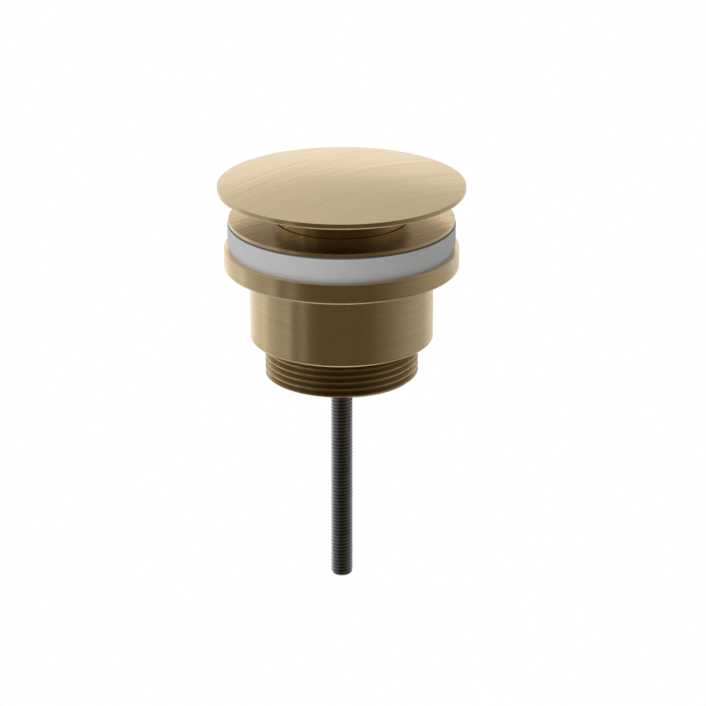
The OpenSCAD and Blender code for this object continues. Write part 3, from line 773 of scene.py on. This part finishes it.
def spoke_tree():
    """Bars laid out like spokes; offset is how many steps the first one stands round from the X axis."""
    tree, size = tree_named("Spokes", ("Width", "Start", "Reach", "Low", "High", "Offset"), ("Count",))
    run = add(tree, "ShaderNodeMath", {0: size["Reach"], 1: size["Start"]}, operation="SUBTRACT")
    rise = add(tree, "ShaderNodeMath", {0: size["High"], 1: size["Low"]}, operation="SUBTRACT")
    middle = add(tree, "ShaderNodeMath", {0: run, 1: 0.5, 2: size["Start"]}, operation="MULTIPLY_ADD")
    level = add(tree, "ShaderNodeMath", {0: rise, 1: 0.5, 2: size["Low"]}, operation="MULTIPLY_ADD")
    extent = add(tree, "ShaderNodeCombineXYZ", {"X": run, "Y": size["Width"], "Z": rise})
    shift = add(tree, "ShaderNodeCombineXYZ", {"X": middle, "Z": level})
    bar = add(tree, "GeometryNodeMeshCube", {"Size": extent})
    bar = add(tree, "GeometryNodeTransform", {"Geometry": bar, "Translation": shift})
    points = add(tree, "GeometryNodePoints", {"Count": size["Count"]})
    index = add(tree, "GeometryNodeInputIndex")
    step = add(tree, "ShaderNodeMath", {0: index, 1: size["Offset"]}, operation="ADD")
    step = add(tree, "ShaderNodeMath", {0: step, 1: size["Count"]}, operation="DIVIDE")
    step = add(tree, "ShaderNodeMath", {0: step, 1: 2 * math.pi}, operation="MULTIPLY")
    turn = add(tree, "ShaderNodeCombineXYZ", {"Z": step})
    bars = add(tree, "GeometryNodeInstanceOnPoints", {"Points": points, "Instance": bar, "Rotation": turn})
    return closed_off(tree, bars, size["Material"])


def spokes(**sizes):
    return grown(bpy.data.node_groups.get("Spokes") or spoke_tree(), **sizes)


def coil_tree():
    """Round wire wound on a helix."""
    tree, size = tree_named("Wound spring", ("Radius", "Wire", "Low", "Rise", "Coils"))
    path = add(tree, "GeometryNodeCurveSpiral", {
        "Resolution": 40, "Rotations": size["Coils"], "Start Radius": size["Radius"],
        "End Radius": size["Radius"], "Height": size["Rise"],
    })
    half = add(tree, "ShaderNodeMath", {0: size["Wire"], 1: 0.5}, operation="MULTIPLY")
    wire = add(tree, "GeometryNodeCurvePrimitiveCircle", {"Resolution": 12, "Radius": half})
    coil = add(tree, "GeometryNodeCurveToMesh", {"Curve": path, "Profile Curve": wire, "Fill Caps": True})
    shift = add(tree, "ShaderNodeCombineXYZ", {"Z": size["Low"]})
    coil = add(tree, "GeometryNodeTransform", {"Geometry": coil, "Translation": shift})
    return closed_off(tree, coil, size["Material"])


class WASTE_OT_dome_cap(bpy.types.Operator):
    """Turn the domed cap with its brushed top and its threaded boss"""

    bl_idname = "waste.dome_cap"
    bl_label = "Dome Cap"

    def execute(self, context):
        size, finish = chosen(context)
        dome_r = (size.cap_r ** 2 + size.cap_dome ** 2) / (2 * size.cap_dome)
        centre = size.cap_top - dome_r
        reach = math.asin(size.cap_r / dome_r)
        under_r = dome_r - size.cap_wall
        rim_turn = math.asin((size.cap_r - size.cap_wall) / under_r)
        boss_turn = math.asin(size.cap_boss_r / under_r)
        rim, top, under = range(3)
        mesh = lathe([
            *arc(dome_r, centre, 0, reach, top),
            (size.cap_r, centre + dome_r * math.cos(reach), 2 * size.edge_crisp, rim),
            (size.cap_r, size.cap_low + size.bevel_rise, size.edge_crisp, rim),
            (size.cap_r - size.edge_bevel, size.cap_low, size.edge_crisp, rim),
            (size.cap_r - size.cap_wall, size.cap_low, 0, under),
            *arc(under_r, centre, rim_turn, boss_turn, under),
            (size.cap_boss_r, centre + under_r * math.cos(boss_turn), 0, under),
            (size.cap_boss_r, size.cap_boss_low, size.edge_round, under),
            (size.stem_bore_r, size.cap_boss_low, 0, under),
            (size.stem_bore_r, size.cap_bore_top, 0, under),
            (0, size.cap_bore_top, 0, under),
        ], closed=False)
        # The cap's underside takes brass painted dark as the shade under the cap
        finishes = brass_turned(finish), brass_straight(finish), brass_underside_painted_shade(finish)
        fitted(mesh, "cap_shell", "plug", "brushed_brass", "dome_cap", *finishes)
        return {"FINISHED"}


class WASTE_OT_plug_seal(bpy.types.Operator):
    """Turn the cup under the cap and mould the lip seal in its groove"""

    bl_idname = "waste.plug_seal"
    bl_label = "Seal Carrier and Lip Seal"

    def execute(self, context):
        size, finish = chosen(context)
        soft = size.edge_round
        carrier = lathe([
            (size.stem_bore_r, size.carrier_top),
            (size.carrier_r, size.carrier_top, soft),
            (size.carrier_r, size.lip_high),
            (size.lip_seat_r, size.lip_high),
            (size.lip_seat_r, size.lip_low),
            (size.carrier_r, size.lip_low),
            (size.carrier_r, size.carrier_low, 3 * soft),
            (size.carrier_bore_r, size.carrier_low, soft),
            (size.carrier_bore_r, size.carrier_web_low, soft),
            (size.stem_bore_r, size.carrier_web_low),
        ])
        # The carrier's boss takes brass painted darker as the shade under the cap
        fitted(carrier, "carrier_cup", "plug", "brushed_brass", "seal_carrier", brass_boss_painted_shade(finish))
        bottom, top = size.lip_low + size.fit_gap, size.lip_high - size.fit_gap
        inner = size.lip_seat_r + size.fit_gap
        third = (top - bottom) / 3
        lip = lathe([
            (inner, bottom),
            (size.lip_r - third, bottom, third),
            (size.lip_r, bottom + third, third),
            (size.lip_r, top - third, third),
            (size.lip_r - third, top, third),
            (inner, top),
        ])
        fitted(lip, "lip_seal", "plug", "black_rubber", "plug_seal", rubber_black(finish))
        return {"FINISHED"}


class WASTE_OT_cartridge(bpy.types.Operator):
    """Dress the click cartridge's pieces and wind its return spring"""

    bl_idname = "waste.cartridge"
    bl_label = "Click Cartridge"

    def execute(self, context):
        size, finish = chosen(context)
        bare, zinc, edge = brass_bare(finish), zinc_steel(finish), size.cartridge_edge
        dressed("cap_washer", "plug", "white_acetal", acetal_white(finish), edge)
        dressed("plunger", "plug", "plain_brass", bare)
        dressed("index_ring", "ring", "black_acetal", acetal_black(finish))
        dressed("guide_bush", "tie_screw", "plain_brass", bare, edge)
        dressed("retaining_ring", "tie_screw", "steel", zinc, edge)
        dressed("cartridge_sleeve", "tie_screw", "plain_brass", bare)
        coil = grown(
            coil_tree(), radius=size.spring_r, wire=size.spring_wire, low=size.spring_low,
            rise=size.spring_rise, coils=float(size.spring_turns), material=zinc,
        )
        spring = fitted(coil, "wound_spring", "tie_screw", "steel", "return_spring", zinc)
        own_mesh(spring)
        return {"FINISHED"}


class WASTE_OT_upper_flange(bpy.types.Operator):
    """Turn the upper flange and its spigot, add the spider and cut the overflow ports"""

    bl_idname = "waste.upper_flange"
    bl_label = "Upper Flange"

    def execute(self, context):
        size, finish = chosen(context)
        turned, straight = brass_turned(finish), brass_straight(finish)
        side, top = range(2)
        shell = lathe([
            (size.throat_r, size.spigot_low),
            (size.throat_r, size.flange_top, size.throat_round, top),
            (size.flange_r, size.flange_top, size.edge_crisp, side),
            (size.flange_r, size.flange_low, size.edge_crisp, side),
            (size.seal_recess_r, size.flange_low),
            (size.seal_recess_r, size.seal_recess_top),
            (size.spigot_r, size.seal_recess_top),
            (size.spigot_r, size.groove_high),
            (size.groove_r, size.groove_high),
            (size.groove_r, size.groove_low),
            (size.spigot_r, size.groove_low),
            (size.spigot_r, size.spigot_low, size.edge_round, side),
        ])
        hub = lathe([
            (size.hub_bore_r, size.spigot_low),
            (size.hub_r, size.spigot_low),
            (size.hub_r, size.hub_top, size.edge_round),
            (size.hub_bore_r, size.hub_top),
        ], segments=HUB_SEGMENTS)
        arms = spokes(
            count=size.arm_count, width=size.arm_w, start=size.hub_r - size.arm_w / 2, reach=size.arm_reach,
            low=size.spigot_low, high=size.arm_top, offset=0.5, material=turned,
        )
        ports = spokes(
            count=size.arm_count, width=size.port_w, start=size.hub_r, reach=size.flange_r,
            low=size.port_low, high=size.port_high, offset=0.0, material=turned,
        )
        for blank in (shell, hub):
            blank.materials.append(turned)
            blank.materials.append(straight)
        mesh = cut(cut(shell, cut(hub, arms, "UNION"), "UNION"), ports, "DIFFERENCE")
        fitted(mesh, "flange_casting", "flange_set", "brushed_brass", "upper_flange", turned, straight)
        return {"FINISHED"}


class WASTE_OT_flange_seals(bpy.types.Operator):
    """Dress the flat seal under the flange and the ring in the spigot's groove"""

    bl_idname = "waste.flange_seals"
    bl_label = "Flange Seals"

    def execute(self, context):
        size, finish = chosen(context)
        # The flat seal's grey stands for the shade line between the flange and the gasket
        dressed("flange_seal", "flange_set", "black_rubber", crease_shade_rubber(finish), size.seal_edge)
        dressed("spigot_ring", "flange_set", "black_rubber", rubber_black(finish))
        return {"FINISHED"}


class WASTE_OT_tie_screw(bpy.types.Operator):
    """Roll the tie screw's thread and dress its head, washers and lock nut"""

    bl_idname = "waste.tie_screw"
    bl_label = "Tie Screw"

    def execute(self, context):
        size, finish = chosen(context)
        zinc = zinc_steel(finish)
        thread = screw_thread(
            size.rod_pitch, size.rod_low, size.rod_top, ROD_SEGMENTS, ROD_STEPS, crest=size.rod_crest_r,
            root=size.rod_root_r, lead=size.rod_crest_r - size.rod_root_r, material=zinc,
        )
        ends = [
            lathe([(0, z), (size.rod_root_r, z)], closed=False, segments=ROD_SEGMENTS)
            for z in (size.rod_low, size.rod_top)
        ]
        fitted(welded(thread, *ends), "rolled_rod", "tie_screw", "steel", "tie_rod", zinc)
        dressed("screw_head", "tie_screw", "plain_brass", brass_bare(finish), size.screw_edge)
        for node in ("head_washer", "hub_washer", "lock_nut"):
            dressed(node, "tie_screw", "steel", zinc, size.screw_edge)
        return {"FINISHED"}


class WASTE_OT_basin_gasket(bpy.types.Operator):
    """Mould the white gasket under the basin"""

    bl_idname = "waste.basin_gasket"
    bl_label = "Basin Gasket"

    def execute(self, context):
        size, finish = chosen(context)
        foot = []
        for step in range(FOOT_POINTS + 1):
            share = step / FOOT_POINTS
            r = size.gasket_r - size.gasket_inset * (1 - share) ** 2
            foot.append((r, size.gasket_low + size.gasket_foot * share))
        mesh = lathe([
            (size.gasket_bore_r, size.gasket_low, size.gasket_round),
            *foot,
            (size.gasket_r, 0, size.gasket_round),
            (size.gasket_bore_r, 0, size.gasket_round),
        ])
        fitted(mesh, "gasket_ring", "tail", "white_silicone", "basin_gasket", silicone_white(finish))
        return {"FINISHED"}


class WASTE_OT_tail_body(bpy.types.Operator):
    """Turn the tail and cut its outlet thread"""

    bl_idname = "waste.tail_body"
    bl_label = "Tail"

    def execute(self, context):
        size, finish = chosen(context)
        # The thread's grooves and the step above them take brass painted darker as their shade
        turned, grooves = brass_turned(finish), brass_groove_painted_shade(finish)
        soft, crisp, bevel, rise = size.edge_round, size.edge_crisp, size.edge_bevel, size.bevel_rise
        side, groove = range(2)
        body = lathe([
            (size.thread_root_r, size.thread_top, 0, groove),
            (size.thread_root_r, size.tail_low, soft, groove),
            (size.tail_r - bevel, size.tail_low, crisp, side),
            (size.tail_r, size.tail_low + rise, crisp, side),
            (size.tail_r, size.tail_flange_low, soft, side),
            (size.tail_flange_r - bevel, size.tail_flange_low, crisp, side),
            (size.tail_flange_r, size.tail_flange_low + rise, crisp, side),
            (size.tail_flange_r, size.gasket_low, crisp, side),
            (size.tail_bore_r, size.gasket_low, soft / 2, side),
            (size.tail_bore_r, size.tail_bore_low),
            (size.outlet_r, size.tail_low),
            (size.outlet_r, size.bridge_top),
            (size.bridge_seat_r, size.bridge_top),
            (size.bridge_seat_r, size.tail_end, soft / 2, side),
            (size.thread_root_r, size.tail_end),
        ], closed=False)
        thread = screw_thread(
            size.thread_pitch, size.tail_end, size.thread_top, TURNED_SEGMENTS, TAIL_STEPS, THREAD_START,
            crest=size.thread_crest_r, root=size.thread_root_r, lead=size.thread_lead, material=turned,
        )
        # Faces below the crest band take the groove brass, painted darker as the shade in the grooves
        for face in thread.polygons:
            below_crest = Vector(face.center[:2]).length < size.thread_crest_r - CREST_BAND
            face.material_index = groove if below_crest else side
        fitted(welded(body, thread), "tail_turning", "tail", "brushed_brass", "tail_body", turned, grooves)
        return {"FINISHED"}


class WASTE_OT_tail_bridge(bpy.types.Operator):
    """Build the bridge that the tie screw draws up in the tail"""

    bl_idname = "waste.tail_bridge"
    bl_label = "Tail Bridge"

    def execute(self, context):
        size, finish = chosen(context)
        bare = brass_bare(finish)
        soft = size.edge_round
        ring = lathe([
            (size.bridge_ring_r, size.bridge_low, soft),
            (size.bridge_r, size.bridge_low, soft),
            (size.bridge_r, size.bridge_top),
            (size.bridge_ring_r, size.bridge_top, soft),
        ], segments=RING_SEGMENTS)
        hub = lathe([
            (size.bridge_bore_r, size.bridge_low, soft),
            (size.bridge_hub_r, size.bridge_low, soft),
            (size.bridge_hub_r, size.bridge_top, soft),
            (size.bridge_bore_r, size.bridge_top, soft),
        ], segments=HUB_SEGMENTS)
        arms = spokes(
            count=size.bridge_arm_count, width=size.bridge_arm_w,
            start=size.bridge_hub_r - size.bridge_arm_w / 2, reach=(size.bridge_r + size.bridge_ring_r) / 2,
            low=size.bridge_low + soft, high=size.bridge_top - soft, offset=0.5, material=bare,
        )
        mesh = cut(ring, cut(hub, arms, "UNION"), "UNION")
        fitted(mesh, "bridge_spider", "tail", "plain_brass", "tail_bridge", bare)
        return {"FINISHED"}


def backdrop_seen(tree):
    """1 for a ray that shows the backdrop: from the camera, a gloss or glass."""
    path = add(tree, "ShaderNodeLightPath").outputs
    seen = path["Is Camera Ray"]
    for ray in ("Is Glossy Ray", "Is Transmission Ray"):
        seen = add(tree, "ShaderNodeMath", {0: seen, 1: path[ray]}, operation="MAXIMUM")
    return seen


def floor_paint(tree, stage):
    """Matt pale paint, which glows a little to the camera so that the floor is white."""
    lift = add(tree, "ShaderNodeMath", {0: backdrop_seen(tree), 1: FLOOR_LIFT}, operation="MULTIPLY")
    return add(tree, "ShaderNodeBsdfPrincipled", {
        "Base Color": opaque(stage.floor), "Roughness": 0.8,
        "Emission Color": WHITE, "Emission Strength": lift,
    })


def panels(tree, stage, depth, sides):
    """Colours of the panels along one side of the tent."""
    share = add(tree, "ShaderNodeMapRange", {"Value": depth, "From Min": -1.0, "From Max": 1.0})
    ramp = add(tree, "ShaderNodeValToRGB", {"Fac": share})
    stops = ramp.color_ramp.elements
    stops[0].color = opaque(stage.drape)
    stops[1].color = opaque(stage.back)
    for paint, *turns in sides:
        for turn in turns:
            stops.new((1 - math.cos(math.radians(turn))) / 2).color = opaque(getattr(stage, paint))
    return ramp


def wall_paint(tree, stage):
    """Glow of the tent's walls: panels on both sides, a pale table below and a dark flag above the camera."""
    place = add(tree, "ShaderNodeTexCoord").outputs["Object"]
    flat = add(tree, "ShaderNodeVectorMath", {0: place, 1: (1, 1, 0)}, operation="MULTIPLY")
    outward = add(tree, "ShaderNodeVectorMath", {0: flat}, operation="NORMALIZE")
    spot = add(tree, "ShaderNodeSeparateXYZ", {0: outward}).outputs
    left = panels(tree, stage, spot["Y"], LEFT_PANELS)
    right = panels(tree, stage, spot["Y"], RIGHT_PANELS)
    on_right = add(tree, "ShaderNodeMath", {0: spot["X"], 1: 0.0}, operation="GREATER_THAN")
    paint = add(tree, "ShaderNodeMix", {0: on_right, 6: left, 7: right}, data_type="RGBA").outputs[2]
    span = add(tree, "ShaderNodeVectorMath", {0: flat}, operation="LENGTH").outputs["Value"]
    table = add(tree, "ShaderNodeMapRange", {"Value": span, "From Min": TABLE_EDGE, "From Max": TABLE_FULL})
    rise = add(tree, "ShaderNodeMapRange", {
        "Value": add(tree, "ShaderNodeSeparateXYZ", {0: place}).outputs["Z"],
        "From Min": WALL_FLAG_LOW, "From Max": WALL_FLAG_HIGH,
    })
    ahead = add(tree, "ShaderNodeMapRange", {
        "Value": spot["Y"], "From Min": WALL_FLAG_EDGE, "From Max": WALL_FLAG_FULL,
    })
    flag = add(tree, "ShaderNodeMath", {0: rise, 1: ahead}, operation="MULTIPLY")
    for share, over in ((table, stage.back), (flag, stage.flag)):
        paint = add(tree, "ShaderNodeMix", {0: share, 6: paint, 7: opaque(over)}, data_type="RGBA").outputs[2]
    return add(tree, "ShaderNodeEmission", {"Color": paint})


def ceiling_paint(tree, stage):
    """Glow of the tent's ceiling: dimmer to the right, with a dark flag towards the camera."""
    place = add(tree, "ShaderNodeTexCoord").outputs["Object"]
    spot = add(tree, "ShaderNodeSeparateXYZ", {0: place}).outputs
    right = add(tree, "ShaderNodeMapRange", {
        "Value": spot["X"], "From Min": -TENT_R / 2, "From Max": TENT_R / 2,
    })
    ahead = add(tree, "ShaderNodeMapRange", {
        "Value": spot["Y"], "From Min": CEILING_FLAG_EDGE, "From Max": CEILING_FLAG_FULL,
    })
    paint = opaque(stage.ceiling)
    for share, over in ((right, stage.ceiling_dim), (ahead, stage.flag)):
        paint = add(tree, "ShaderNodeMix", {0: share, 6: paint, 7: opaque(over)}, data_type="RGBA").outputs[2]
    return add(tree, "ShaderNodeEmission", {"Color": paint})


def light(name, place, watts):
    """Soft square lamp that faces the waste. Metal shows the tent, not the lamp."""
    lamp = bpy.data.lights.new(name, "AREA")
    lamp.energy = watts
    lamp.size = LAMP_WIDTH
    obj = bpy.data.objects.new(name, lamp)
    obj.location = place
    obj.rotation_euler = (-Vector(place)).to_track_quat("-Z", "Y").to_euler()
    obj.visible_glossy = False
    bpy.context.scene.collection.objects.link(obj)


def tent_wall(name, corners, paint, stage):
    """Turned wall of the studio, which only reflections see."""
    obj = placed(lathe(corners, closed=False, segments=TENT_SEGMENTS), name)
    obj.data.materials.append(finish_named(name + "_paint", paint, stage))
    obj.visible_camera = False
    obj.visible_diffuse = False
    obj.visible_shadow = False


class WASTE_OT_stage(bpy.types.Operator):
    """Set the camera, the pale floor, the studio tent and the lamps"""

    bl_idname = "waste.stage"
    bl_label = "Stage"

    def execute(self, context):
        scene, stage = context.scene, context.scene.waste_stage
        scene.view_settings.view_transform = "Standard"
        camera = bpy.data.cameras.new("camera")
        camera.lens = stage.lens
        camera.sensor_width = SENSOR_WIDTH
        camera.clip_end = VIEW_END
        eye = bpy.data.objects.new("camera", camera)
        eye.location = (
            0, -stage.distance * math.cos(stage.elevation), stage.distance * math.sin(stage.elevation),
        )
        eye.rotation_euler = (Vector(stage.aim) - eye.location).to_track_quat("-Z", "Y").to_euler()
        scene.collection.objects.link(eye)
        scene.camera = eye

        world = bpy.data.worlds.new("studio")
        world.use_nodes = True
        tree = world.node_tree
        tree.nodes.clear()
        level = add(tree, "ShaderNodeMapRange", {
            "Value": backdrop_seen(tree), "To Min": stage.sky, "To Max": 1.0,
        })
        glow = add(tree, "ShaderNodeBackground", {"Color": WHITE, "Strength": level})
        add(tree, "ShaderNodeOutputWorld", {"Surface": glow})
        scene.world = world

        disc = lathe([(0, TENT_LOW), (TENT_R, TENT_LOW)], closed=False, segments=TENT_SEGMENTS)
        floor = placed(disc, "floor")
        floor.data.materials.append(finish_named("floor_paint", floor_paint, stage))
        floor.visible_glossy = False
        wall = [(0, TENT_LOW), (TENT_R, TENT_LOW), (TENT_R, TENT_HIGH)]
        tent_wall("tent_wall", wall, wall_paint, stage)
        ceiling = [(TENT_R, TENT_HIGH), (0, TENT_HIGH + CEILING_RISE)]
        tent_wall("tent_ceiling", ceiling, ceiling_paint, stage)
        light("key_light", KEY_PLACE, stage.key_power)
        light("fill_light", FILL_PLACE, stage.fill_power)
        return {"FINISHED"}


class WASTE_PT_pieces(bpy.types.Panel):
    """The pieces of the waste, in the order in which they are made"""

    bl_label = "Basin Waste"
    bl_idname = "WASTE_PT_pieces"
    bl_space_type = "VIEW_3D"
    bl_region_type = "UI"
    bl_category = "Basin Waste"

    def draw(self, context):
        for operator in OPERATORS:
            self.layout.operator(operator.bl_idname)
        for group in GROUPS:
            settings = getattr(context.scene, group)
            box = self.layout.box()
            for key in settings.__annotations__:
                box.prop(settings, key)


OPERATORS = (
    WASTE_OT_stage, WASTE_OT_dome_cap, WASTE_OT_plug_seal, WASTE_OT_cartridge, WASTE_OT_upper_flange,
    WASTE_OT_flange_seals, WASTE_OT_tie_screw, WASTE_OT_basin_gasket, WASTE_OT_tail_body,
    WASTE_OT_tail_bridge,
)
GROUPS = {"waste_finish": WasteFinish, "waste_stage": WasteStage, "waste_sizes": WasteSizes}
CLASSES = (*GROUPS.values(), *OPERATORS, WASTE_PT_pieces)


def register():
    for cls in CLASSES:
        bpy.utils.register_class(cls)
    for name, group in GROUPS.items():
        setattr(bpy.types.Scene, name, PointerProperty(type=group))


def unregister():
    for name in GROUPS:
        delattr(bpy.types.Scene, name)
    for cls in reversed(CLASSES):
        bpy.utils.unregister_class(cls)


def main():
    register()
    bpy.ops.waste.stage()
    bpy.ops.waste.dome_cap()
    bpy.ops.waste.plug_seal()
    bpy.ops.waste.cartridge()
    bpy.ops.waste.upper_flange()
    bpy.ops.waste.flange_seals()
    bpy.ops.waste.tie_screw()
    bpy.ops.waste.basin_gasket()
    bpy.ops.waste.tail_body()
    bpy.ops.waste.tail_bridge()


if __name__ == "__main__":
    main()
